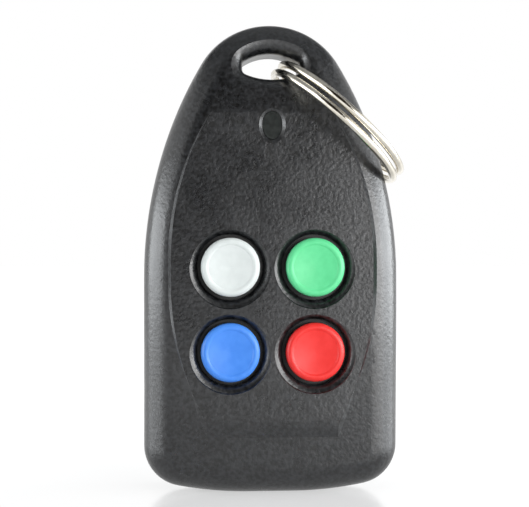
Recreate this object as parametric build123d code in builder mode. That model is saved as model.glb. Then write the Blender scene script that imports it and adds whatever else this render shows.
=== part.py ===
from build123d import *
from math import acos, asin, atan2, cos, degrees, pi, radians, sin, sqrt
import os

# Four-button key-fob remote transmitter with its split ring, in millimetres.
# It stands on its foot: +Z runs up to the key ring end, +X is to the right of
# someone facing the buttons, and the face looks along -Y. The two covers meet
# on the plane y = 0, and z = 0 is the flat of the foot.

# Case, seen from the front
case_length = 71.6
case_width = 38.6
crown_radius = 12.2
shoulder_from_top = 38.8
corner_radius = 6.3
foot_flat_width = 7.0
foot_bow_radius = 54.0

# Case, seen from the side
face_depth = 7.6
face_crest_height = 28.0
face_bow_radius = 330.0
nose_length = 14.1
nose_bow_radius = 90.0
back_depth = 7.0
back_draw_length = 27.6
back_bow_radius = 105.0
face_edge_radius = 4.5
back_edge_radius = 3.0
wall = 1.6
seam_depth = 0.2
seam_width = 0.12

# Panel set into the face, proud of it near the foot
panel_half_width = 15.2
panel_widest_foot = 32.0
panel_widest_top = 35.5
panel_side_radius = 44.0
panel_crown_radius = 7.0
panel_upper_meet = 57.5
panel_lower_meet = 16.5
panel_roll_height = 12.0
panel_roll_radius = 9.0
panel_roll_angle = 60.0
recess_wall_angle = 38.0
raised_wall_angle = 62.0

# Buttons
button_pitch = 12.7
button_row_height = 21.6
cap_radius = 4.4
cap_top_depth = 8.0
cap_dish_depth = 0.5
cap_rim_radius = 0.55
cap_wall = 1.2
cap_post_radius = 1.6
cap_flange_radius = 5.5
cap_flange_thickness = 0.9
cap_flange_gap = 0.3
well_radius = 4.95
well_lip_radius = 6.1
well_lip_depth = 0.75
well_lip_fullness = 0.4
button_travel = 0.3

# Indicator window
window_from_top = 15.8
window_half_width = 1.45
window_rise = 1.95
window_drop = 2.25
window_sink = 0.4
window_fit = 0.08
window_rim_angle = 50.0
window_seat_depth = 4.95
window_flange = 0.8
window_flange_thickness = 0.7

# Key ring eyelet
eyelet_half_width = 4.4
eyelet_height = 4.1
eyelet_bar = 4.7
eyelet_bow = 1.0
eyelet_end_radius = 0.8
eyelet_lip_radius = 2.1
slab_allowance = 0.02

# Circuit board and the parts soldered to it
board_face = 1.4
board_thickness = 1.6
board_margin = 0.6
board_foot_height = 14.4
switch_width = 6.0
switch_corner = 0.6
switch_base_thickness = 3.2
switch_plate_thickness = 0.3
switch_height = 4.3
switch_pocket_depth = 1.9
switch_post_radius = 0.35
switch_post_proud = 0.15
plunger_radius = 1.75
plunger_foot_radius = 2.1
plunger_fit = 0.12
dome_radius = 2.1
dome_thickness = 0.12
dome_rise = 0.35
led_radius = 1.5
led_height = 5.0
led_flange_radius = 1.9
led_flange_thickness = 1.0
chip_size = (3.9, 9.9, 1.45)
chip_lead_count = 8
chip_lead_pitch = 1.27
chip_lead_span = 6.0
lead_width = 0.4
lead_thickness = 0.2
resonator_x = -4.6
resonator_radius = 4.25
resonator_height = 3.2
resonator_rim = 0.35
resonator_rim_thickness = 0.5
trimmer_x = 6.6
trimmer_size = (4.2, 4.6, 1.3)
trimmer_rotor_radius = 1.5
transistor_x = 5.2
transistor_size = (2.9, 1.3, 1.0)
antenna_width = 0.6
antenna_thickness = 0.1
antenna_margin = 0.2
antenna_foot_height = 41.0
chip_part_size = (2.0, 1.25, 0.55)
chip_parts_by_switches = [(2.0, 4.3), (2.0, 6.3), (-13.2, 2.2), (13.2, 2.2), (-13.0, -15.9), (13.0, -15.9)]
chip_parts_by_lamp = [(1.6, -4.6), (3.4, -2.6)]

# Battery and its contacts
battery_radius = 5.15
battery_height = 8.6
battery_edge_chamfer = 0.4
battery_nub_radius = 2.5
battery_nub_length = 0.9
battery_fit = 0.2
battery_room = 3.45
cradle_places = (-8.5, 8.5)
cradle_thickness = 1.2
cradle_reach = 3.0
contact_thickness = 0.3
contact_width = 4.4
contact_half_height = 3.4
contact_stand_off = 2.35
contact_tab_height = 3.4
contact_tab_reach = 1.9

# Screws: a lower and an upper pair
lower_screw_height = 26.0
upper_screw_from_top = 17.0
screw_from_edge = 5.8
screw_head_radius = 1.9
screw_head_height = 1.3
screw_radius = 1.0
screw_length = 8.0
screw_recess = 1.6
screw_recess_fit = 0.2
screw_hole_fit = 0.15
screw_drive_size = (2.4, 0.5, 0.7)
thread_fit = 0.05
boss_radius = 2.3
boss_root = 0.3
pilot_slack = 0.5

# Tongue of the rear cover in the rebate of the front cover
tongue_thickness = 0.7
tongue_height = 1.0
tongue_fit = 0.12

# Split ring
wire_diameter = 1.2
ring_outside_diameter = 25.7
ring_strand_gap = 0.45
ring_pivot_x = 1.4
ring_pivot_rise = 2.1
ring_edge_room = 8.32
ring_start_angle = 270.0
ring_cross_start_angle = 320.0
ring_cross_end_angle = 360.0
ring_end_angle = 675.0


# Places worked out from the sizes above
half_width = case_width / 2
shoulder_height = case_length - shoulder_from_top
nose_height = case_length - nose_length
back_flat_height = case_length - back_draw_length
window_height = case_length - window_from_top
eyelet_foot_height = case_length - eyelet_bar - eyelet_height
cavity_top = eyelet_foot_height - eyelet_lip_radius - wall
board_back = board_face + board_thickness
switch_face = board_face - switch_base_thickness
plunger_face = board_face - switch_height
plunger_foot_back = switch_face + switch_pocket_depth - dome_rise - button_travel
crown_centre_height = case_length - crown_radius
crown_drop = crown_centre_height - shoulder_height
side_radius = (half_width**2 + crown_drop**2 - crown_radius**2) / (2 * (half_width - crown_radius))
side_centre_x = half_width - side_radius
upper_row_height = button_row_height + button_pitch
button_places = {
    "white": (-button_pitch / 2, upper_row_height),
    "green": (button_pitch / 2, upper_row_height),
    "blue": (-button_pitch / 2, button_row_height),
    "red": (button_pitch / 2, button_row_height),
}
battery_length = case_width - 2 * wall - 2 * battery_room
switch_top = upper_row_height + switch_width / 2
chip_place = (0, button_row_height + button_pitch / 2)
resonator_place = (resonator_x, (switch_top + window_height) / 2)
trimmer_place = (trimmer_x, (switch_top + window_height) / 2)
transistor_place = (transistor_x, (switch_top + trimmer_place[1] - trimmer_size[1] / 2) / 2)
chip_part_places = [(x, upper_row_height + rise) for x, rise in chip_parts_by_switches]
chip_part_places += [(x, window_height + rise) for x, rise in chip_parts_by_lamp]


def sag(distance, radius):
    """How far an arc falls away at a distance from its crest."""
    return radius - sqrt(radius**2 - distance**2)


def face_y(height):
    """The face of the case below its nose."""
    return -face_depth + sag(height - face_crest_height, face_bow_radius)


def back_y(height):
    """The back of the case, flat and then drawn in towards the key ring end."""
    return back_depth - sag(max(height - back_flat_height, 0), back_bow_radius)


def edge_x(height):
    """How far out the side of the case lies above its corners and below its crown."""
    return side_centre_x + sqrt(side_radius**2 - max(height - shoulder_height, 0) ** 2)


def foot_z(x):
    """The underside of the case: a flat, bowed up on both sides."""
    return sag(max(abs(x) - foot_flat_width / 2, 0), foot_bow_radius)


def panel_y(height):
    """The flat panel, a chord across the bowed face."""
    rise = (height - panel_lower_meet) / (panel_upper_meet - panel_lower_meet)
    return face_y(panel_lower_meet) + rise * (face_y(panel_upper_meet) - face_y(panel_lower_meet))


def unit_direction(run, rise):
    """A direction of unit length."""
    length = sqrt(run**2 + rise**2)
    return run / length, rise / length


def across(x, height):
    """A plane through a button or a post, with its local axes out from the centre and along +Y."""
    return Plane(origin=(x, 0, height), x_dir=(1, 0, 0), z_dir=(0, 0, 1))


def from_front(depth):
    """A plane seen from the front, at a depth behind y = 0."""
    return Plane.XZ.offset(-depth)


screw_places = [
    (side * (edge_x(height) - screw_from_edge), height)
    for height in (lower_screw_height, case_length - upper_screw_from_top)
    for side in (-1, 1)
]
panel_normal = unit_direction(-1, panel_y(1) - panel_y(0))
panel_plane = Plane(origin=(0, panel_y(0), 0), x_dir=(1, 0, 0), z_dir=(0, panel_normal[0], panel_normal[1]))


def case_outline(inset, depth):
    """Front view of the case, set in by a wall, as one closed face."""
    reach = unit_direction(-side_centre_x, crown_drop)
    crown_join = (crown_radius * reach[0], crown_centre_height + crown_radius * reach[1])
    half_turn = asin(reach[1]) / 2
    side_middle = (side_centre_x + side_radius * cos(half_turn),
                   shoulder_height + side_radius * sin(half_turn))
    flat_end = foot_flat_width / 2
    bow_middle = (flat_end + half_width) / 2
    with BuildSketch(from_front(depth)) as outline:
        with BuildLine():
            for side in (-1, 1):
                Line((0, 0), (side * flat_end, 0))
                ThreePointArc((side * flat_end, 0), (side * bow_middle, foot_z(bow_middle)),
                              (side * half_width, foot_z(half_width)))
                Line((side * half_width, foot_z(half_width)), (side * half_width, shoulder_height))
                ThreePointArc((side * half_width, shoulder_height), (side * side_middle[0], side_middle[1]),
                              (side * crown_join[0], crown_join[1]))
            ThreePointArc(crown_join, (0, case_length), (-crown_join[0], crown_join[1]))
        make_face()
        corners = outline.vertices().filter_by(lambda v: abs(v.X) > half_width - 0.01 and v.Y < corner_radius)
        fillet(corners, corner_radius)
        if inset:
            offset(amount=-inset, mode=Mode.REPLACE)
    return outline.sketch


def side_view(inset):
    """Side view of the case: a bowed face with a nose, and a flat back drawn in at the top."""
    below = -face_depth
    nose_angle = 15.0
    back_angle = 25.0
    face_middle = (below + nose_height) / 2
    nose_direction = unit_direction((nose_height - face_crest_height) / face_bow_radius, 1)
    with BuildSketch(Plane.YZ) as view:
        with BuildLine():
            ThreePointArc((face_y(below), below), (face_y(face_middle), face_middle),
                          (face_y(nose_height), nose_height))
            nose = JernArc((face_y(nose_height), nose_height), nose_direction, nose_bow_radius, -nose_angle)
            back = JernArc((back_depth, back_flat_height), (0, 1), back_bow_radius, back_angle)
            Line(nose @ 1, back @ 1)
            Polyline((back_depth, back_flat_height), (back_depth, below), (face_y(below), below))
        make_face()
        if inset:
            offset(amount=-inset, mode=Mode.REPLACE)
    return view.sketch


def case_body(inset):
    """The whole case without its openings, or the same shape set in by a wall."""
    with BuildPart() as body:
        extrude(case_outline(inset, 2 * back_depth), amount=2 * (face_depth + back_depth))
        extrude(side_view(inset), amount=case_width, both=True, mode=Mode.INTERSECT)
        face_rim = body.faces().filter_by(lambda f: f.normal_at().Y < -0.9).edges()
        fillet(face_rim.filter_by(lambda e: abs(e.center().Z - nose_height) > 0.5), face_edge_radius - inset)
        back_rim = body.faces().filter_by(lambda f: f.normal_at().Y > 0.9).edges()
        fillet(back_rim.filter_by(lambda e: abs(e.center().Z - back_flat_height) > 0.5),
               back_edge_radius - inset)
    return body.part


def panel_outline():
    """The ogive panel, drawn on the plane that the panel lies in."""
    side_centre = panel_half_width - panel_side_radius
    tip_angle = degrees(acos(-side_centre / panel_side_radius))
    with BuildSketch(panel_plane) as outline:
        with BuildLine():
            CenterArc((side_centre, panel_widest_top), panel_side_radius, 0, tip_angle)
            CenterArc((-side_centre, panel_widest_top), panel_side_radius, 180 - tip_angle, tip_angle)
            CenterArc((side_centre, panel_widest_foot), panel_side_radius, -tip_angle, tip_angle)
            CenterArc((-side_centre, panel_widest_foot), panel_side_radius, 180, tip_angle)
            for side in (-1, 1):
                Line((side * panel_half_width, panel_widest_foot), (side * panel_half_width, panel_widest_top))
        make_face()
        fillet(outline.vertices().sort_by(Axis.Y)[-1], panel_crown_radius)
    return outline.sketch


def cavity_outline(inset, depth):
    """Front view of the hollow between the covers, set in by a margin, at a depth behind y = 0."""
    with BuildSketch(Plane.XZ.offset(-depth)) as outline:
        add(case_outline(wall + inset, 0))
        with Locations((0, cavity_top - inset)):
            Rectangle(2 * case_width, 2 * case_length, align=(Align.CENTER, Align.MAX), mode=Mode.INTERSECT)
    return outline.sketch


def seam_outline():
    """The rim of the case where the covers meet, as deep as their seam."""
    with BuildSketch(from_front(0)) as outline:
        add(case_outline(0, 0))
        add(case_outline(seam_depth, 0), mode=Mode.SUBTRACT)
    return outline.sketch


def window_outline(growth, depth):
    """The egg-shaped window, grown all round, at a depth behind y = 0."""
    with BuildSketch(from_front(depth)) as outline:
        with BuildLine():
            centre = (0, window_height)
            across_radius = window_half_width + growth
            EllipticalCenterArc(centre, across_radius, window_rise + growth, start_angle=0, arc_size=180)
            EllipticalCenterArc(centre, across_radius, window_drop + growth, start_angle=180, arc_size=180)
        make_face()
    return outline.sketch


def eyelet_outline():
    """The half-moon hole for the split ring, drawn in front of the face."""
    top_radius = crown_radius - eyelet_bar
    end_top = crown_centre_height + sqrt(top_radius**2 - eyelet_half_width**2)
    end_foot = eyelet_foot_height + eyelet_bow
    with BuildSketch(from_front(-2 * face_depth)) as outline:
        with BuildLine():
            ThreePointArc((-eyelet_half_width, end_top), (0, crown_centre_height + top_radius),
                          (eyelet_half_width, end_top))
            Line((eyelet_half_width, end_top), (eyelet_half_width, end_foot))
            ThreePointArc((eyelet_half_width, end_foot), (0, eyelet_foot_height), (-eyelet_half_width, end_foot))
            Line((-eyelet_half_width, end_foot), (-eyelet_half_width, end_top))
        make_face()
        fillet(outline.vertices(), eyelet_end_radius)
    return outline.sketch


# The panel: what is cut out of the face, and what stands proud of it near the foot
with BuildPart() as panel_recess:
    extrude(panel_outline(), amount=face_depth, taper=-recess_wall_angle)

with BuildPart() as raised_panel:
    extrude(panel_outline(), amount=wall, dir=-panel_plane.z_dir, taper=-raised_wall_angle)
    with BuildSketch(Plane.YZ):
        with BuildLine():
            roll_start = (panel_y(panel_roll_height), panel_roll_height)
            roll = JernArc(roll_start, (-panel_normal[1], panel_normal[0]), panel_roll_radius,
                           panel_roll_angle)
            above_meet = panel_lower_meet + wall
            Polyline(roll_start, (panel_y(above_meet), above_meet), (-face_depth + 2 * wall, above_meet), roll @ 1)
        make_face()
    extrude(amount=case_width, both=True, mode=Mode.INTERSECT)

# A slab a hair thicker than the case, with the eyelet through it and its lips rounded over
with BuildPart() as eyelet_slab:
    extrude(side_view(-slab_allowance), amount=case_width, both=True)
    extrude(eyelet_outline(), amount=-4 * face_depth, mode=Mode.SUBTRACT)
    eyelet_rims = eyelet_slab.edges().filter_by(lambda e: abs(e.center().X) < eyelet_half_width + 0.1)
    eyelet_rims = eyelet_rims.filter_by(lambda e: cavity_top < e.center().Z < case_length)
    eyelet_rims = eyelet_rims.filter_by(lambda e: abs(e.tangent_at(0.5).Y) < 0.5)
    fillet(eyelet_rims, eyelet_lip_radius)

# The outside of the closed case, with the panel and the eyelet
with BuildPart() as case:
    add(case_body(0))
    add(eyelet_slab, mode=Mode.INTERSECT)
    add(panel_recess, mode=Mode.SUBTRACT)
    add(raised_panel)

with BuildPart() as cavity:
    add(case_body(wall))
    split(bisect_by=Plane.XY.offset(cavity_top), keep=Keep.BOTTOM)

# Front cover: wells for the caps, the window's seat, bosses and the rebate for the rear cover's tongue
with BuildPart() as front_cover:
    add(case)
    split(bisect_by=Plane.XZ, keep=Keep.TOP)
    add(cavity, mode=Mode.SUBTRACT)
    extrude(cavity_outline(-tongue_thickness - tongue_fit, 0), amount=tongue_height + tongue_fit,
            mode=Mode.SUBTRACT)
    extrude(seam_outline(), amount=seam_width, mode=Mode.SUBTRACT)
    for x, height in button_places.values():
        level = panel_y(height)
        lip_middle = (well_radius + well_lip_fullness * (well_lip_radius - well_radius),
                      level + well_lip_fullness * well_lip_depth)
        with BuildSketch(across(x, height)):
            with BuildLine():
                ThreePointArc((well_lip_radius, level), lip_middle, (well_radius, level + well_lip_depth))
                Polyline((well_radius, level + well_lip_depth), (well_radius, switch_face), (0, switch_face),
                         (0, level - wall), (well_lip_radius + wall, level - wall), (well_lip_radius, level))
            make_face()
        revolve(axis=Axis((x, 0, height), (0, 1, 0)), mode=Mode.SUBTRACT)
    window_face = panel_y(window_height)
    extrude(window_outline(window_fit, window_face - wall), amount=-2 * wall - window_fit, mode=Mode.SUBTRACT)
    extrude(window_outline(window_fit, window_face + window_sink), amount=wall, taper=-window_rim_angle,
            mode=Mode.SUBTRACT)
    extrude(window_outline(window_flange + window_fit, -window_seat_depth), amount=-wall, mode=Mode.SUBTRACT)
    for x, height in screw_places:
        root = face_y(height) + wall - boss_root
        with BuildSketch(from_front(board_face)):
            with Locations((x, height)):
                Circle(boss_radius)
        extrude(amount=board_face - root)
        pilot_depth = board_face - (back_y(height) - screw_recess - screw_length - pilot_slack)
        with Locations(Plane(origin=(x, board_face, height), x_dir=(1, 0, 0), z_dir=(0, 1, 0))):
            Hole(radius=screw_radius + thread_fit, depth=pilot_depth)

# Rear cover: flat back with four screw recesses, bosses behind the board, a cradle and a tongue
with BuildPart() as rear_cover:
    add(case)
    split(bisect_by=Plane.XZ, keep=Keep.BOTTOM)
    add(cavity, mode=Mode.SUBTRACT)
    extrude(seam_outline(), amount=-seam_width, mode=Mode.SUBTRACT)
    for x, height in screw_places:
        with BuildSketch(from_front(board_back)):
            with Locations((x, height)):
                Circle(boss_radius)
        extrude(amount=-(back_y(height) - wall + boss_root - board_back))
        with Locations(Plane(origin=(x, back_y(height), height), x_dir=(-1, 0, 0), z_dir=(0, 1, 0))):
            CounterBoreHole(radius=screw_radius + screw_hole_fit, counter_bore_radius=screw_head_radius
                            + screw_recess_fit, counter_bore_depth=screw_recess, depth=back_depth)
    for x in cradle_places:
        with BuildSketch(Plane.YZ.offset(x - cradle_thickness / 2)):
            with Locations((back_depth - wall / 2, battery_height)):
                Rectangle(cradle_reach, 2 * battery_radius, align=(Align.MAX, Align.CENTER))
            with Locations((0, battery_height)):
                Circle(battery_radius + battery_fit, mode=Mode.SUBTRACT)
        extrude(amount=cradle_thickness)

front_cover.part.label = "front_cover"
rear_cover.part.label = "rear_cover"
os.makedirs("parts", exist_ok=True)
export_step(front_cover.part, "parts/front_cover.step")
export_step(rear_cover.part, "parts/rear_cover.step")


def push_cap(x, height):
    """A dished cap with a rounded rim, a flange behind the face and a post on the switch."""
    flange_face = face_y(height) + wall + cap_flange_gap
    flange_back = flange_face + cap_flange_thickness
    rim_inside = cap_radius - 2 * cap_rim_radius
    skirt_inside = cap_radius - cap_wall
    with BuildPart() as cap:
        with BuildSketch(across(x, height)) as profile:
            with BuildLine():
                ThreePointArc((0, cap_dish_depth - cap_top_depth),
                              (rim_inside / 2, 0.75 * cap_dish_depth - cap_top_depth),
                              (rim_inside, cap_rim_radius / 4 - cap_top_depth))
                ThreePointArc((rim_inside, cap_rim_radius / 4 - cap_top_depth),
                              (cap_radius - cap_rim_radius, -cap_top_depth),
                              (cap_radius, cap_rim_radius - cap_top_depth))
                Polyline((cap_radius, cap_rim_radius - cap_top_depth), (cap_radius, flange_face),
                         (cap_flange_radius, flange_face), (cap_flange_radius, flange_back),
                         (skirt_inside, flange_back), (skirt_inside, cap_dish_depth + cap_wall - cap_top_depth),
                         (cap_post_radius, cap_dish_depth + cap_wall - cap_top_depth),
                         (cap_post_radius, plunger_face), (0, plunger_face),
                         (0, cap_dish_depth - cap_top_depth))
            make_face()
        revolve(axis=Axis((x, 0, height), (0, 1, 0)))
    return cap


def switch_corners(x, height):
    """The four corners of a switch, where its plate is staked on."""
    reach = switch_width / 2 - 2 * switch_post_radius
    return [(x + across_side * reach, height + up_side * reach) for across_side in (-1, 1) for up_side in (-1, 1)]


def switch_base(x, height):
    """The moulded base of a tact switch: a pocket for the plunger and four staking posts."""
    with BuildPart() as base:
        with BuildSketch(from_front(board_face)) as square:
            with Locations((x, height)):
                Rectangle(switch_width, switch_width)
            chamfer(square.vertices(), switch_corner)
        extrude(amount=switch_base_thickness)
        with BuildSketch(from_front(switch_face)):
            with Locations((x, height)):
                Circle(plunger_foot_radius + plunger_fit)
        extrude(amount=-switch_pocket_depth, mode=Mode.SUBTRACT)
        with BuildSketch(from_front(switch_face)):
            with Locations(switch_corners(x, height)):
                Circle(switch_post_radius)
        extrude(amount=switch_plate_thickness + switch_post_proud)
    return base


def switch_plate(x, height):
    """The sheet cover of a tact switch, with a hole for the plunger."""
    with BuildPart() as plate:
        with BuildSketch(from_front(switch_face)) as square:
            with Locations((x, height)):
                Rectangle(switch_width, switch_width)
            chamfer(square.vertices(), switch_corner)
            with Locations((x, height)):
                Circle(plunger_radius + plunger_fit, mode=Mode.SUBTRACT)
            with Locations(switch_corners(x, height)):
                Circle(switch_post_radius + plunger_fit / 2, mode=Mode.SUBTRACT)
        extrude(amount=switch_plate_thickness)
    return plate


def switch_plunger(x, height):
    """The round plunger that the cap's post pushes, kept in by its foot."""
    with BuildPart() as plunger:
        with BuildSketch(from_front(switch_face)):
            with Locations((x, height)):
                Circle(plunger_radius)
        extrude(amount=switch_face - plunger_face)
        with BuildSketch(from_front(switch_face)):
            with Locations((x, height)):
                Circle(plunger_radius)
        extrude(amount=switch_face - plunger_foot_back)
        with BuildSketch(from_front(switch_face + plunger_fit / 2)):
            with Locations((x, height)):
                Circle(plunger_foot_radius)
        extrude(amount=switch_face + plunger_fit / 2 - plunger_foot_back)
    return plunger


for colour, (x, height) in button_places.items():
    cap = push_cap(x, height)
    cap.part.label = f"button_{colour}"
    export_step(cap.part, f"parts/button_{colour}.step")
    base = switch_base(x, height)
    base.part.label = f"switch_base_{colour}"
    export_step(base.part, f"parts/switch_base_{colour}.step")
    plate = switch_plate(x, height)
    plate.part.label = f"switch_plate_{colour}"
    export_step(plate.part, f"parts/switch_plate_{colour}.step")
    plunger = switch_plunger(x, height)
    plunger.part.label = f"switch_plunger_{colour}"
    export_step(plunger.part, f"parts/switch_plunger_{colour}.step")

# The four snap domes at the bottom of the switch pockets
with BuildPart() as switch_domes:
    dome_floor = switch_face + switch_pocket_depth
    for x, height in button_places.values():
        with BuildSketch(across(x, height)):
            with BuildLine():
                Polyline((dome_radius, dome_floor), (dome_radius, dome_floor - dome_thickness),
                         (dome_radius / 2, dome_floor - dome_rise), (0, dome_floor - dome_rise),
                         (0, dome_floor - dome_rise + dome_thickness),
                         (dome_radius / 2, dome_floor - dome_rise + dome_thickness),
                         (dome_radius - dome_thickness, dome_floor), (dome_radius, dome_floor))
            make_face()
        revolve(axis=Axis((x, 0, height), (0, 1, 0)))
switch_domes.part.label = "switch_domes"
export_step(switch_domes.part, "parts/switch_domes.step")

# Smoked window: an egg-shaped plug with a flange seated behind the face
with BuildPart() as led_window:
    extrude(window_outline(0, panel_y(window_height) + window_sink),
            amount=panel_y(window_height) + window_sink + window_seat_depth)
    extrude(window_outline(window_flange, -window_seat_depth), amount=-window_flange_thickness)
led_window.part.label = "led_window"
export_step(led_window.part, "parts/led_window.step")

# Indicator lamp on the board, right behind the window
with BuildPart() as led:
    with BuildSketch(across(0, window_height)):
        with BuildLine():
            dome_foot = board_face - led_height + led_radius
            Polyline((0, board_face - led_height), (0, board_face), (led_flange_radius, board_face),
                     (led_flange_radius, board_face - led_flange_thickness),
                     (led_radius, board_face - led_flange_thickness), (led_radius, dome_foot))
            ThreePointArc((led_radius, dome_foot),
                          (led_radius * sin(radians(45)), dome_foot - led_radius * cos(radians(45))),
                          (0, board_face - led_height))
        make_face()
    revolve(axis=Axis((0, 0, window_height), (0, 1, 0)))
led.part.label = "status_led"
export_step(led.part, "parts/status_led.step")

# Circuit board, cut square above the battery and drilled for the screws
with BuildPart() as circuit_board:
    extrude(cavity_outline(board_margin, board_back), amount=board_thickness)
    split(bisect_by=Plane.XY.offset(board_foot_height), keep=Keep.TOP)
    for x, height in screw_places:
        with Locations(Plane(origin=(x, board_face, height), x_dir=(1, 0, 0), z_dir=(0, -1, 0))):
            Hole(radius=screw_radius + screw_hole_fit)
circuit_board.part.label = "circuit_board"
export_step(circuit_board.part, "parts/circuit_board.step")


def board_block(place, size, lift):
    """A moulded block on the board, lifted off it by a gap."""
    with BuildPart() as block:
        with BuildSketch(from_front(board_face - lift)):
            with Locations(place):
                Rectangle(size[0], size[1])
        extrude(amount=size[2])
    return block


def gull_leads(x, heights, body_half, span, lead_height):
    """Bent leads on one side of a package, which side is the sign of the span."""
    side = 1 if span > 0 else -1
    with BuildPart() as leads:
        for height in heights:
            with BuildSketch(Plane.XY.offset(height - lead_width / 2)):
                with Locations((x + side * (body_half + abs(span) / 2) / 2, board_face - lead_height)):
                    Rectangle(abs(span) / 2 - body_half, lead_thickness)
                with Locations((x + span / 2, board_face)):
                    Rectangle(lead_thickness, lead_height + lead_thickness / 2, align=(Align.CENTER, Align.MAX))
                    Rectangle(lead_width, lead_thickness, align=(Align.CENTER, Align.MAX))
            extrude(amount=lead_width)
    return leads


# Code encoder chip between the switches
first_lead = chip_place[1] - chip_lead_pitch * (chip_lead_count - 1) / 2
lead_heights = [first_lead + chip_lead_pitch * number for number in range(chip_lead_count)]
left_leads = gull_leads(chip_place[0], lead_heights, chip_size[0] / 2, -chip_lead_span, chip_size[2] / 2)
right_leads = gull_leads(chip_place[0], lead_heights, chip_size[0] / 2, chip_lead_span, chip_size[2] / 2)
chip_body = board_block(chip_place, chip_size, lead_thickness)
with BuildPart() as encoder_chip:
    add(chip_body)
    chamfer(encoder_chip.faces().sort_by(Axis.Y)[0].edges(), lead_thickness)
    add(left_leads)
    add(right_leads)
encoder_chip.part.label = "encoder_chip"
export_step(encoder_chip.part, "parts/encoder_chip.step")

# Resonator can, a drawn cap on a rim
with BuildPart() as saw_resonator:
    with BuildSketch(from_front(board_face)):
        with Locations(resonator_place):
            Circle(resonator_radius + resonator_rim)
    extrude(amount=resonator_rim_thickness)
    with BuildSketch(from_front(board_face)):
        with Locations(resonator_place):
            Circle(resonator_radius)
    extrude(amount=resonator_height)
    chamfer(saw_resonator.faces().sort_by(Axis.Y)[0].edges(), resonator_rim)
saw_resonator.part.label = "saw_resonator"
export_step(saw_resonator.part, "parts/saw_resonator.step")

# Trimmer capacitor with a slotted rotor
trimmer_body = board_block(trimmer_place, trimmer_size, 0)
with BuildPart() as trimmer_capacitor:
    add(trimmer_body)
    with BuildSketch(from_front(board_face - trimmer_size[2])):
        with Locations(trimmer_place):
            Circle(trimmer_rotor_radius)
    extrude(amount=lead_thickness)
    with BuildSketch(from_front(board_face - trimmer_size[2] - lead_thickness)):
        with Locations(trimmer_place):
            Rectangle(2 * trimmer_rotor_radius, lead_width)
    extrude(amount=-2 * lead_thickness, mode=Mode.SUBTRACT)
trimmer_capacitor.part.label = "trimmer_capacitor"
export_step(trimmer_capacitor.part, "parts/trimmer_capacitor.step")

# Output transistor: two leads on one side and one on the other
lead_row = transistor_size[0] / 2 - lead_width
lead_span = 2 * transistor_size[1]
pair_heights = [transistor_place[1] - lead_row, transistor_place[1] + lead_row]
pair_leads = gull_leads(transistor_place[0], pair_heights, transistor_size[1] / 2, lead_span,
                        transistor_size[2] / 2)
single_lead = gull_leads(transistor_place[0], [transistor_place[1]], transistor_size[1] / 2, -lead_span,
                         transistor_size[2] / 2)
transistor_body = board_block(transistor_place, (transistor_size[1], transistor_size[0], transistor_size[2]),
                              lead_thickness / 2)
with BuildPart() as transistor:
    add(transistor_body)
    add(pair_leads)
    add(single_lead)
transistor.part.label = "transistor"
export_step(transistor.part, "parts/transistor.step")

# Loop antenna: a strip round the upper edge of the board
with BuildPart() as loop_antenna:
    with BuildSketch(from_front(board_face)):
        add(cavity_outline(board_margin + antenna_margin, 0))
        add(cavity_outline(board_margin + antenna_margin + antenna_width, 0), mode=Mode.SUBTRACT)
        with Locations((0, antenna_foot_height)):
            Rectangle(2 * case_width, 2 * case_length, align=(Align.CENTER, Align.MAX), mode=Mode.SUBTRACT)
    extrude(amount=antenna_thickness)
loop_antenna.part.label = "loop_antenna"
export_step(loop_antenna.part, "parts/loop_antenna.step")

# Chip resistors and capacitors, separate solids in one group
with BuildPart() as chip_components:
    with BuildSketch(from_front(board_face)):
        with Locations(chip_part_places):
            Rectangle(chip_part_size[0], chip_part_size[1])
    extrude(amount=chip_part_size[2])
chip_components.part.label = "chip_components"
export_step(chip_components.part, "parts/chip_components.step")

# Battery across the foot of the case, its nub to the right
with BuildPart() as battery:
    with BuildSketch(Plane.YZ.offset(-battery_length / 2)):
        with Locations((0, battery_height)):
            Circle(battery_radius)
    extrude(amount=battery_length - battery_nub_length)
    chamfer(battery.edges(), battery_edge_chamfer)
    with BuildSketch(Plane.YZ.offset(battery_length / 2)):
        with Locations((0, battery_height)):
            Circle(battery_nub_radius)
    extrude(amount=-2 * battery_nub_length)
battery.part.label = "battery"
export_step(battery.part, "parts/battery.step")


def battery_contact(side):
    """A bowed leaf against one end of the battery, with a tab soldered on the board."""
    stand = side * (battery_length / 2 + contact_stand_off)
    leaf_foot = (stand, battery_height - contact_half_height)
    leaf_top = (stand, battery_height + contact_half_height)
    leaf_middle = (side * (battery_length / 2 + contact_thickness / 2), battery_height)
    tab_top = board_foot_height + contact_tab_height
    with BuildPart() as contact:
        with BuildSketch(from_front(board_face)):
            with BuildLine() as strip:
                ThreePointArc(leaf_foot, leaf_middle, leaf_top)
                Line(leaf_top, (stand, tab_top))
            trace(line_width=contact_thickness)
        extrude(amount=contact_width)
        with BuildSketch(from_front(board_face)):
            with Locations((stand, tab_top)):
                Rectangle(2 * contact_tab_reach, contact_tab_height - contact_thickness,
                          align=(Align.MAX if side > 0 else Align.MIN, Align.MAX))
        extrude(amount=contact_thickness)
    return contact


contact_positive = battery_contact(1)
contact_positive.part.label = "battery_contact_positive"
export_step(contact_positive.part, "parts/battery_contact_positive.step")
contact_negative = battery_contact(-1)
contact_negative.part.label = "battery_contact_negative"
export_step(contact_negative.part, "parts/battery_contact_negative.step")

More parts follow.
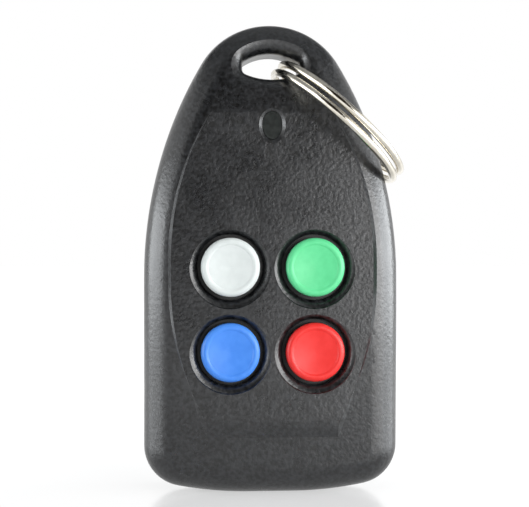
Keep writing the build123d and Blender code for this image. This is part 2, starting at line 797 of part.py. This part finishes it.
# Four case screws, separate solids in one group
with BuildPart() as case_screws:
    for x, height in screw_places:
        seat = back_y(height) - screw_recess
        with BuildSketch(from_front(seat)):
            with Locations((x, height)):
                Circle(screw_head_radius)
        extrude(amount=-screw_head_height)
        with BuildSketch(from_front(seat)):
            with Locations((x, height)):
                Circle(screw_radius)
        extrude(amount=screw_length)
        for quarter in (0, 90):
            with BuildSketch(from_front(seat + screw_head_height)):
                with Locations(Location((x, height), quarter)):
                    Rectangle(screw_drive_size[0], screw_drive_size[1])
            extrude(amount=screw_drive_size[2], mode=Mode.SUBTRACT)
case_screws.part.label = "case_screws"
export_step(case_screws.part, "parts/case_screws.step")

# Split ring: one wire wound almost twice, stepping over to its second turn behind the case.
# It droops from its pivot in the eyelet until the edge of the case holds it.
ring_radius = (ring_outside_diameter - wire_diameter) / 2
ring_pitch = wire_diameter + ring_strand_gap
ring_pivot_height = eyelet_foot_height + ring_pivot_rise
pivot_run = ring_pivot_x - side_centre_x
pivot_climb = ring_pivot_height - shoulder_height
ring_over_edge = ring_radius + sqrt((ring_radius - wire_diameter / 2) ** 2 - ring_edge_room**2)
pivot_distance = sqrt(pivot_run**2 + pivot_climb**2)
along = (side_radius**2 - ring_over_edge**2 + pivot_distance**2) / (2 * pivot_distance)
aside = sqrt(side_radius**2 - along**2)
rest_x = side_centre_x + (along * pivot_run + aside * pivot_climb) / pivot_distance
rest_height = shoulder_height + (along * pivot_climb - aside * pivot_run) / pivot_distance
droop = atan2(ring_pivot_height - rest_height, rest_x - ring_pivot_x)
ring_plane = Plane(
    origin=(ring_pivot_x + ring_radius * cos(droop), 0, ring_pivot_height - ring_radius * sin(droop)),
    x_dir=(-cos(droop), 0, sin(droop)),
    z_dir=(sin(droop), 0, cos(droop)),
)


def ring_point(turn, level):
    """A point of the ring, at so many degrees from where the wire starts."""
    angle = radians(ring_start_angle + turn)
    return ring_plane.from_local_coords(Vector(ring_radius * cos(angle), ring_radius * sin(angle), level))


def ring_heading(turn):
    """The direction of the wire there."""
    angle = radians(ring_start_angle + turn)
    return ring_plane.from_local_coords(Vector(-sin(angle), cos(angle), 0)) - ring_plane.origin


def flat_turns(start, end, level):
    """Quarter turns that stay in one plane."""
    count = round((end - start) / 80)
    step = (end - start) / count
    for number in range(count):
        first = start + number * step
        ThreePointArc(ring_point(first, level), ring_point(first + step / 2, level),
                      ring_point(first + step, level))


def step_over(start, end, level):
    """Two arcs that meet tangentially and carry the wire to its second turn."""
    first, last = ring_point(start, -level), ring_point(end, level)
    first_heading, last_heading = ring_heading(start), ring_heading(end)
    chord = last - first
    both = first_heading + last_heading
    square = both.dot(both) - 4
    linear = -2 * chord.dot(both)
    reach = (-linear - sqrt(linear**2 - 4 * square * chord.dot(chord))) / (2 * square)
    joint = (first + first_heading * reach + last - last_heading * reach) * 0.5
    lead_in = TangentArc(first, joint, tangent=first_heading)
    TangentArc(joint, last, tangent=lead_in % 1)


def least_gap(path, reach):
    """The least gap from the wire to itself, between points more than a reach apart along it."""
    count = 400
    points = [path.position_at(number / count) for number in range(count + 1)]
    apart = int(reach / path.length * count)
    pairs = [(points[i] - points[j]).length for i in range(count + 1) for j in range(i + apart, count + 1)]
    return min(pairs) - wire_diameter


with BuildPart() as key_ring:
    with BuildLine() as turns:
        flat_turns(0, ring_cross_start_angle, -ring_pitch / 2)
        step_over(ring_cross_start_angle, ring_cross_end_angle, ring_pitch / 2)
        flat_turns(ring_cross_end_angle, ring_end_angle, ring_pitch / 2)
    wire = turns.wires()[0]
    with BuildSketch(Plane(origin=wire @ 0, z_dir=wire % 0)):
        Circle(wire_diameter / 2)
    sweep(path=wire)
print("key ring: least gap to itself", round(least_gap(wire, pi * ring_radius), 3), "mm, wire length",
      round(wire.length, 2), "mm, volume over section times length",
      round(key_ring.part.volume / (wire.length * pi * (wire_diameter / 2) ** 2), 4))
key_ring.part.label = "key_ring"
export_step(key_ring.part, "parts/key_ring.step")
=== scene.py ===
import math

import bmesh
import bpy
from mathutils import Matrix, Vector

# A black four-button remote transmitter that stands on a glossy white floor.
# Metres, +Z up, the buttons face -Y, and z = 0 is the floor.
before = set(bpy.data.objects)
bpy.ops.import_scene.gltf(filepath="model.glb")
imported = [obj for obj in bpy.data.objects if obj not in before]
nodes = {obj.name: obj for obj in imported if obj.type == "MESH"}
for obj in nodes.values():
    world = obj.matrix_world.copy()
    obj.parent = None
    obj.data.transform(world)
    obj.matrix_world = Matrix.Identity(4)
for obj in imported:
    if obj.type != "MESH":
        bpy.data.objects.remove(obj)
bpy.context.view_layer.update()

MM = 0.001

# Grain sizes and reliefs of the finishes
CASE_GRAIN = 0.55 * MM
CASE_RELIEF = 0.065 * MM
CASE_PATCHES = 4 * MM
MOTTLE_SIZE = 1.2 * MM
SKIN_SIZE = 0.12 * MM
SKIN_RELIEF = 0.004 * MM
CLOUD_SIZE = 1.5 * MM
SCRATCH_SIZE = 0.25 * MM
SCRATCH_RELIEF = 0.002 * MM
HAZE_SIZE = 0.8 * MM
TRACK_PITCH = 2.2 * MM
WEAVE_SIZE = 0.4 * MM

# The caps are coloured in front of this distance from the parting plane, and painted near black behind it,
# as painted shade for the deep gap round each cap
PAINTED_SHADE_FRONT = 7.05 * MM
PAINTED_SHADE_BLEND = 0.1 * MM
SKIRT_PAINTED_SHADE = (0.006, 0.006, 0.006)

# The floor is glossy near the object and matt further out, and glows less near the object, which paints a
# soft grey shade round it
GLOSSY_WITHIN = 0.04
MATT_BEYOND = 0.16
FLOOR_HALF_SIZE = 3
FLOOR_WHITE = 0.5
FLOOR_GLOW_IN_PAINTED_SHADE = 0.49

# How strong the world is as light, where white to the eye is 1
WORLD_LIGHT = 0.13

COOL_WHITE = (0.94, 0.975, 1.0)
ROOM_BROWN = (0.05, 0.035, 0.02)
CEILING_GREY = (0.45, 0.45, 0.45)
OBJECT_MIDDLE = (0, 0, 0.035)

CAMERA_AIM = (-0.00076, 0, 0.03636)
CAMERA_DISTANCE = 0.18
CAMERA_TURN = math.radians(-4)
CAMERA_LENS = 78.8


# Materials

def new_material(name):
    """An empty material with its shader, and the node tree to build on."""
    material = bpy.data.materials.new(name)
    material.use_nodes = True
    tree = material.node_tree
    return material, tree, tree.nodes["Principled BSDF"]


def grain(tree, size, detail=2.0):
    """Noise of one grain size in metres, fixed to the object."""
    place = tree.nodes.new("ShaderNodeTexCoord")
    noise = tree.nodes.new("ShaderNodeTexNoise")
    noise.inputs["Scale"].default_value = 1 / size
    noise.inputs["Detail"].default_value = detail
    tree.links.new(place.outputs["Object"], noise.inputs["Vector"])
    return noise.outputs["Fac"]


def ramp(tree, pattern, low, high):
    """Two colours across a pattern."""
    node = tree.nodes.new("ShaderNodeValToRGB")
    for stop, position, colour in zip(node.color_ramp.elements, (0.35, 0.65), (low, high)):
        stop.position = position
        stop.color = (*colour, 1)
    tree.links.new(pattern, node.inputs["Fac"])
    return node.outputs["Color"]


def spread(tree, pattern, low, high):
    """A pattern spread between two values."""
    node = tree.nodes.new("ShaderNodeMapRange")
    node.inputs["From Min"].default_value = 0.3
    node.inputs["From Max"].default_value = 0.7
    node.inputs["To Min"].default_value = low
    node.inputs["To Max"].default_value = high
    tree.links.new(pattern, node.inputs["Value"])
    return node.outputs["Result"]


def relief(tree, shader, layers):
    """Bumps laid over each other: pattern, height in metres and strength of each."""
    normal = None
    for pattern, height, strength in layers:
        bump = tree.nodes.new("ShaderNodeBump")
        bump.inputs["Distance"].default_value = height
        bump.inputs["Strength"].default_value = strength
        tree.links.new(pattern, bump.inputs["Height"])
        if normal:
            tree.links.new(normal, bump.inputs["Normal"])
        normal = bump.outputs["Normal"]
    tree.links.new(normal, shader.inputs["Normal"])


def case_plastic():
    """Black moulded plastic with the even grain of a spark-eroded tool and a few softer patches."""
    material, tree, shader = new_material("case_grain")
    fine = grain(tree, CASE_GRAIN, 1.5)
    patches = grain(tree, CASE_PATCHES)
    tree.links.new(ramp(tree, fine, (0.001, 0.0012, 0.0015), (0.019, 0.02, 0.022)),
                   shader.inputs["Base Color"])
    tree.links.new(spread(tree, patches, 0.26, 0.34), shader.inputs["Roughness"])
    relief(tree, shader, [(fine, CASE_RELIEF, 0.6)])
    shader.inputs["Specular IOR Level"].default_value = 0.72
    return material


def cap_plastic(name, dark, light):
    """Satin cap whose skirt, below the lip of its well, is painted dark as shade for the deep gap round the
    cap.
    """
    material, tree, shader = new_material(name)
    mottle = grain(tree, MOTTLE_SIZE)
    skin = grain(tree, SKIN_SIZE)
    place = tree.nodes.new("ShaderNodeTexCoord")
    split = tree.nodes.new("ShaderNodeSeparateXYZ")
    tree.links.new(place.outputs["Object"], split.inputs["Vector"])
    depth = tree.nodes.new("ShaderNodeMapRange")
    depth.inputs["From Min"].default_value = -PAINTED_SHADE_FRONT - PAINTED_SHADE_BLEND
    depth.inputs["From Max"].default_value = -PAINTED_SHADE_FRONT + PAINTED_SHADE_BLEND
    tree.links.new(split.outputs["Y"], depth.inputs["Value"])
    # Painted shade: behind the skirt line the colour is mixed to near black, standing in for the shadow
    # deep in the well gap
    painted_shade_mix = tree.nodes.new("ShaderNodeMix")
    painted_shade_mix.data_type = "RGBA"
    painted_shade_mix.inputs["B"].default_value = (*SKIRT_PAINTED_SHADE, 1)
    tree.links.new(depth.outputs["Result"], painted_shade_mix.inputs["Factor"])
    tree.links.new(ramp(tree, mottle, dark, light), painted_shade_mix.inputs["A"])
    tree.links.new(painted_shade_mix.outputs["Result"], shader.inputs["Base Color"])
    tree.links.new(spread(tree, skin, 0.37, 0.47), shader.inputs["Roughness"])
    relief(tree, shader, [(skin, SKIN_RELIEF, 0.4)])
    return material


def moulded(name, dark, light, roughness):
    """Moulded plastic or ceramic with a little mottle and a fine skin."""
    material, tree, shader = new_material(name)
    mottle = grain(tree, MOTTLE_SIZE)
    skin = grain(tree, SKIN_SIZE)
    tree.links.new(ramp(tree, mottle, dark, light), shader.inputs["Base Color"])
    tree.links.new(spread(tree, skin, roughness - 0.05, roughness + 0.05), shader.inputs["Roughness"])
    relief(tree, shader, [(skin, SKIN_RELIEF, 0.4)])
    return material


def plated(name, dark, light, roughness):
    """Plated metal with faint clouding and handling scratches."""
    material, tree, shader = new_material(name)
    clouds = grain(tree, CLOUD_SIZE, 3)
    scratches = grain(tree, SCRATCH_SIZE, 4)
    tree.links.new(ramp(tree, clouds, dark, light), shader.inputs["Base Color"])
    tree.links.new(spread(tree, scratches, roughness * 0.7, roughness * 1.4), shader.inputs["Roughness"])
    relief(tree, shader, [(scratches, SCRATCH_RELIEF, 0.3)])
    shader.inputs["Metallic"].default_value = 1.0
    return material


def smoked_lens():
    """Dark see-through plastic with a polished face."""
    material, tree, shader = new_material("smoked_lens")
    haze = grain(tree, HAZE_SIZE)
    tree.links.new(ramp(tree, haze, (0.028, 0.031, 0.03), (0.04, 0.044, 0.042)),
                   shader.inputs["Base Color"])
    tree.links.new(spread(tree, haze, 0.1, 0.18), shader.inputs["Roughness"])
    relief(tree, shader, [(haze, 0.01 * MM, 0.2)])
    shader.inputs["Transmission Weight"].default_value = 0.1
    shader.inputs["IOR"].default_value = 1.49
    return material


def board_lacquer():
    """Green solder mask over laminate, with copper tracks showing through as a faint pattern."""
    material, tree, shader = new_material("board_lacquer")
    place = tree.nodes.new("ShaderNodeTexCoord")
    turn = tree.nodes.new("ShaderNodeMapping")
    turn.inputs["Rotation"].default_value = (math.pi / 2, 0, 0)
    tracks = tree.nodes.new("ShaderNodeTexBrick")
    tracks.inputs["Scale"].default_value = 1 / TRACK_PITCH
    tracks.inputs["Mortar Size"].default_value = 0.05
    tracks.inputs["Color1"].default_value = (0.012, 0.12, 0.045, 1)
    tracks.inputs["Color2"].default_value = (0.02, 0.15, 0.055, 1)
    tracks.inputs["Mortar"].default_value = (0.05, 0.27, 0.1, 1)
    tree.links.new(place.outputs["Object"], turn.inputs["Vector"])
    tree.links.new(turn.outputs["Vector"], tracks.inputs["Vector"])
    tree.links.new(tracks.outputs["Color"], shader.inputs["Base Color"])
    weave = grain(tree, WEAVE_SIZE)
    relief(tree, shader, [(tracks.outputs["Fac"], 0.03 * MM, 0.6), (weave, 0.01 * MM, 0.3)])
    shader.inputs["Roughness"].default_value = 0.3
    return material


case_grain = case_plastic()
finishes = {
    "front_cover": case_grain,
    "rear_cover": case_grain,
    "button_white": cap_plastic("white_cap", (0.72, 0.765, 0.75), (0.76, 0.805, 0.79)),
    "button_green": cap_plastic("green_cap", (0.113, 0.69, 0.29), (0.13, 0.73, 0.32)),
    "button_blue": cap_plastic("blue_cap", (0.055, 0.25, 0.84), (0.07, 0.28, 0.88)),
    "button_red": cap_plastic("red_cap", (0.84, 0.023, 0.019), (0.88, 0.033, 0.029)),
    "led_window": smoked_lens(),
    "status_led": moulded("red_lamp", (0.5, 0.03, 0.02), (0.6, 0.05, 0.04), 0.15),
    "circuit_board": board_lacquer(),
    "encoder_chip": moulded("chip_resin", (0.015, 0.015, 0.016), (0.025, 0.025, 0.026), 0.5),
    "saw_resonator": plated("can_nickel", (0.6, 0.59, 0.56), (0.7, 0.69, 0.66), 0.25),
    "trimmer_capacitor": moulded("trimmer_ceramic", (0.5, 0.4, 0.24), (0.62, 0.52, 0.34), 0.45),
    "loop_antenna": plated("tinned_foil", (0.6, 0.4, 0.25), (0.72, 0.62, 0.5), 0.3),
    "chip_components": moulded("chip_ceramic", (0.2, 0.13, 0.08), (0.36, 0.27, 0.18), 0.5),
    "battery": plated("battery_jacket", (0.3, 0.31, 0.33), (0.42, 0.43, 0.45), 0.3),
    "battery_contact_positive": plated("contact_nickel", (0.62, 0.61, 0.58), (0.74, 0.73, 0.7), 0.22),
    "case_screws": plated("screw_zinc", (0.5, 0.5, 0.5), (0.62, 0.62, 0.6), 0.32),
    "key_ring": plated("ring_nickel", (0.64, 0.6, 0.52), (0.74, 0.7, 0.61), 0.14),
}
finishes["transistor"] = finishes["encoder_chip"]
finishes["battery_contact_negative"] = finishes["battery_contact_positive"]
finishes["switch_domes"] = finishes["battery_contact_positive"]
switch_resin = moulded("switch_resin", (0.02, 0.02, 0.02), (0.035, 0.035, 0.035), 0.45)
for colour in ("white", "green", "blue", "red"):
    finishes["switch_base_" + colour] = switch_resin
    finishes["switch_plunger_" + colour] = switch_resin
    finishes["switch_plate_" + colour] = finishes["saw_resonator"]
for name, node in nodes.items():
    node.material_slots[0].material = finishes[name]


# Floor, room and world

def flat_square(name, half_size, material, place=Matrix()):
    """A square of the studio, which isn't part of the object."""
    mesh = bpy.data.meshes.new(name)
    shape = bmesh.new()
    bmesh.ops.create_grid(shape, x_segments=1, y_segments=1, size=half_size)
    bmesh.ops.transform(shape, matrix=place, verts=shape.verts)
    shape.to_mesh(mesh)
    shape.free()
    mesh.materials.append(material)
    square = bpy.data.objects.new(name, mesh)
    bpy.context.scene.collection.objects.link(square)
    return square


def arithmetic(tree, operation, first, second):
    """Two values of the tree made one."""
    node = tree.nodes.new("ShaderNodeMath")
    node.operation = operation
    tree.links.new(first, node.inputs[0])
    tree.links.new(second, node.inputs[1])
    return node.outputs[0]


def across_floor(tree, near, far):
    """A value that changes with the distance from the middle of the floor."""
    place = tree.nodes.new("ShaderNodeTexCoord")
    distance = tree.nodes.new("ShaderNodeVectorMath")
    distance.operation = "LENGTH"
    tree.links.new(place.outputs["Object"], distance.inputs[0])
    blend = tree.nodes.new("ShaderNodeMapRange")
    blend.interpolation_type = "SMOOTHSTEP"
    blend.inputs["From Min"].default_value = GLOSSY_WITHIN
    blend.inputs["From Max"].default_value = MATT_BEYOND
    blend.inputs["To Min"].default_value = near
    blend.inputs["To Max"].default_value = far
    tree.links.new(distance.outputs["Value"], blend.inputs["Value"])
    return blend.outputs["Result"]


def white_floor():
    """White that is glossy round the object and matt further out, and keeps the shadow. Its glow is dimmer
    round the object, a painted shade like a contact shadow, seen by the camera and in reflections.
    """
    material, tree, shader = new_material("white_sweep")
    shader.inputs["Base Color"].default_value = (FLOOR_WHITE, FLOOR_WHITE, FLOOR_WHITE, 1)
    shader.inputs["Roughness"].default_value = 0.15
    tree.links.new(across_floor(tree, 0.5, 0.0), shader.inputs["Specular IOR Level"])
    path = tree.nodes.new("ShaderNodeLightPath")
    seen = arithmetic(tree, "MAXIMUM", path.outputs["Is Camera Ray"], path.outputs["Is Glossy Ray"])
    glow = tree.nodes.new("ShaderNodeEmission")
    # Painted shade: the glow is lower near the object than far out, so the floor round it looks greyer to
    # the camera and in reflections
    tree.links.new(arithmetic(tree, "MULTIPLY", seen, across_floor(tree, FLOOR_GLOW_IN_PAINTED_SHADE, 1.0)),
                   glow.inputs["Strength"])
    both = tree.nodes.new("ShaderNodeAddShader")
    tree.links.new(shader.outputs["BSDF"], both.inputs[0])
    tree.links.new(glow.outputs["Emission"], both.inputs[1])
    tree.links.new(both.outputs["Shader"], tree.nodes["Material Output"].inputs["Surface"])
    flat_square("floor", FLOOR_HALF_SIZE, material)


def room_card(name, colour, half_size, place):
    """A darker side of the room that only reflections see."""
    material, tree, shader = new_material(name)
    shader.inputs["Base Color"].default_value = (*colour, 1)
    shader.inputs["Roughness"].default_value = 0.9
    card = flat_square(name, half_size, material, place)
    card.visible_camera = False
    card.visible_shadow = False
    card.visible_diffuse = False


def studio_world():
    """White to the camera, to gloss and through glass, and a plain level of light besides."""
    world = bpy.data.worlds.new("studio")
    bpy.context.scene.world = world
    world.use_nodes = True
    tree = world.node_tree
    sky = tree.nodes["Background"]
    sky.inputs["Color"].default_value = (1, 1, 1, 1)
    path = tree.nodes.new("ShaderNodeLightPath")
    seen = arithmetic(tree, "MAXIMUM", path.outputs["Is Camera Ray"], path.outputs["Is Glossy Ray"])
    seen = arithmetic(tree, "MAXIMUM", seen, path.outputs["Is Transmission Ray"])
    level = tree.nodes.new("ShaderNodeMapRange")
    level.inputs["To Min"].default_value = WORLD_LIGHT
    level.inputs["To Max"].default_value = 1.0
    tree.links.new(seen, level.inputs["Value"])
    tree.links.new(level.outputs["Result"], sky.inputs["Strength"])


white_floor()
room_card("room_dark", ROOM_BROWN, 0.5,
          Matrix.Translation((-0.05, -0.8, 0.5)) @ Matrix.Rotation(-math.pi / 2, 4, "X"))
room_card("ceiling_dim", CEILING_GREY, 0.4, Matrix.Translation((0, 0.1, 0.4)))
studio_world()


# Lamps and camera

def soft_light(name, place, aim, width, height, power, tint=(1, 1, 1)):
    """A rectangular soft light that looks at a point."""
    lamp = bpy.data.lights.new(name, "AREA")
    lamp.shape = "RECTANGLE"
    lamp.color = tint
    lamp.size = width
    lamp.size_y = height
    lamp.energy = power
    light = bpy.data.objects.new(name, lamp)
    bpy.context.scene.collection.objects.link(light)
    direction = Vector(aim) - Vector(place)
    light.matrix_world = Matrix.Translation(place) @ direction.to_track_quat("-Z", "Y").to_matrix().to_4x4()


def photo_camera():
    """180 mm from the parting plane, a little from the left, level with the middle of the case."""
    lens = bpy.data.cameras.new("photo_camera")
    lens.lens = CAMERA_LENS
    lens.sensor_width = 36
    lens.clip_start = 0.01
    camera = bpy.data.objects.new("photo_camera", lens)
    away = Vector((math.sin(CAMERA_TURN), -math.cos(CAMERA_TURN), 0))
    camera.location = Vector(CAMERA_AIM) + CAMERA_DISTANCE * away
    camera.rotation_euler = (math.pi / 2, 0, CAMERA_TURN)
    bpy.context.scene.collection.objects.link(camera)
    bpy.context.scene.camera = camera


soft_light("front_softbox", (0.188, -0.259, 0.06), OBJECT_MIDDLE, width=0.25, height=0.14, power=0.76)
soft_light("right_panel", (0.34, -0.06, 0.065), (0, -0.06, 0.045), width=0.38, height=0.16, power=1.55,
           tint=COOL_WHITE)
soft_light("left_panel", (-0.34, -0.1, 0.065), (0, -0.1, 0.045), width=0.44, height=0.16, power=1.2,
           tint=COOL_WHITE)
soft_light("overhead_softbox", (0, 0.05, 0.6), OBJECT_MIDDLE, width=0.5, height=0.5, power=0.34)
photo_camera()
bpy.context.scene.view_settings.view_transform = "Standard"
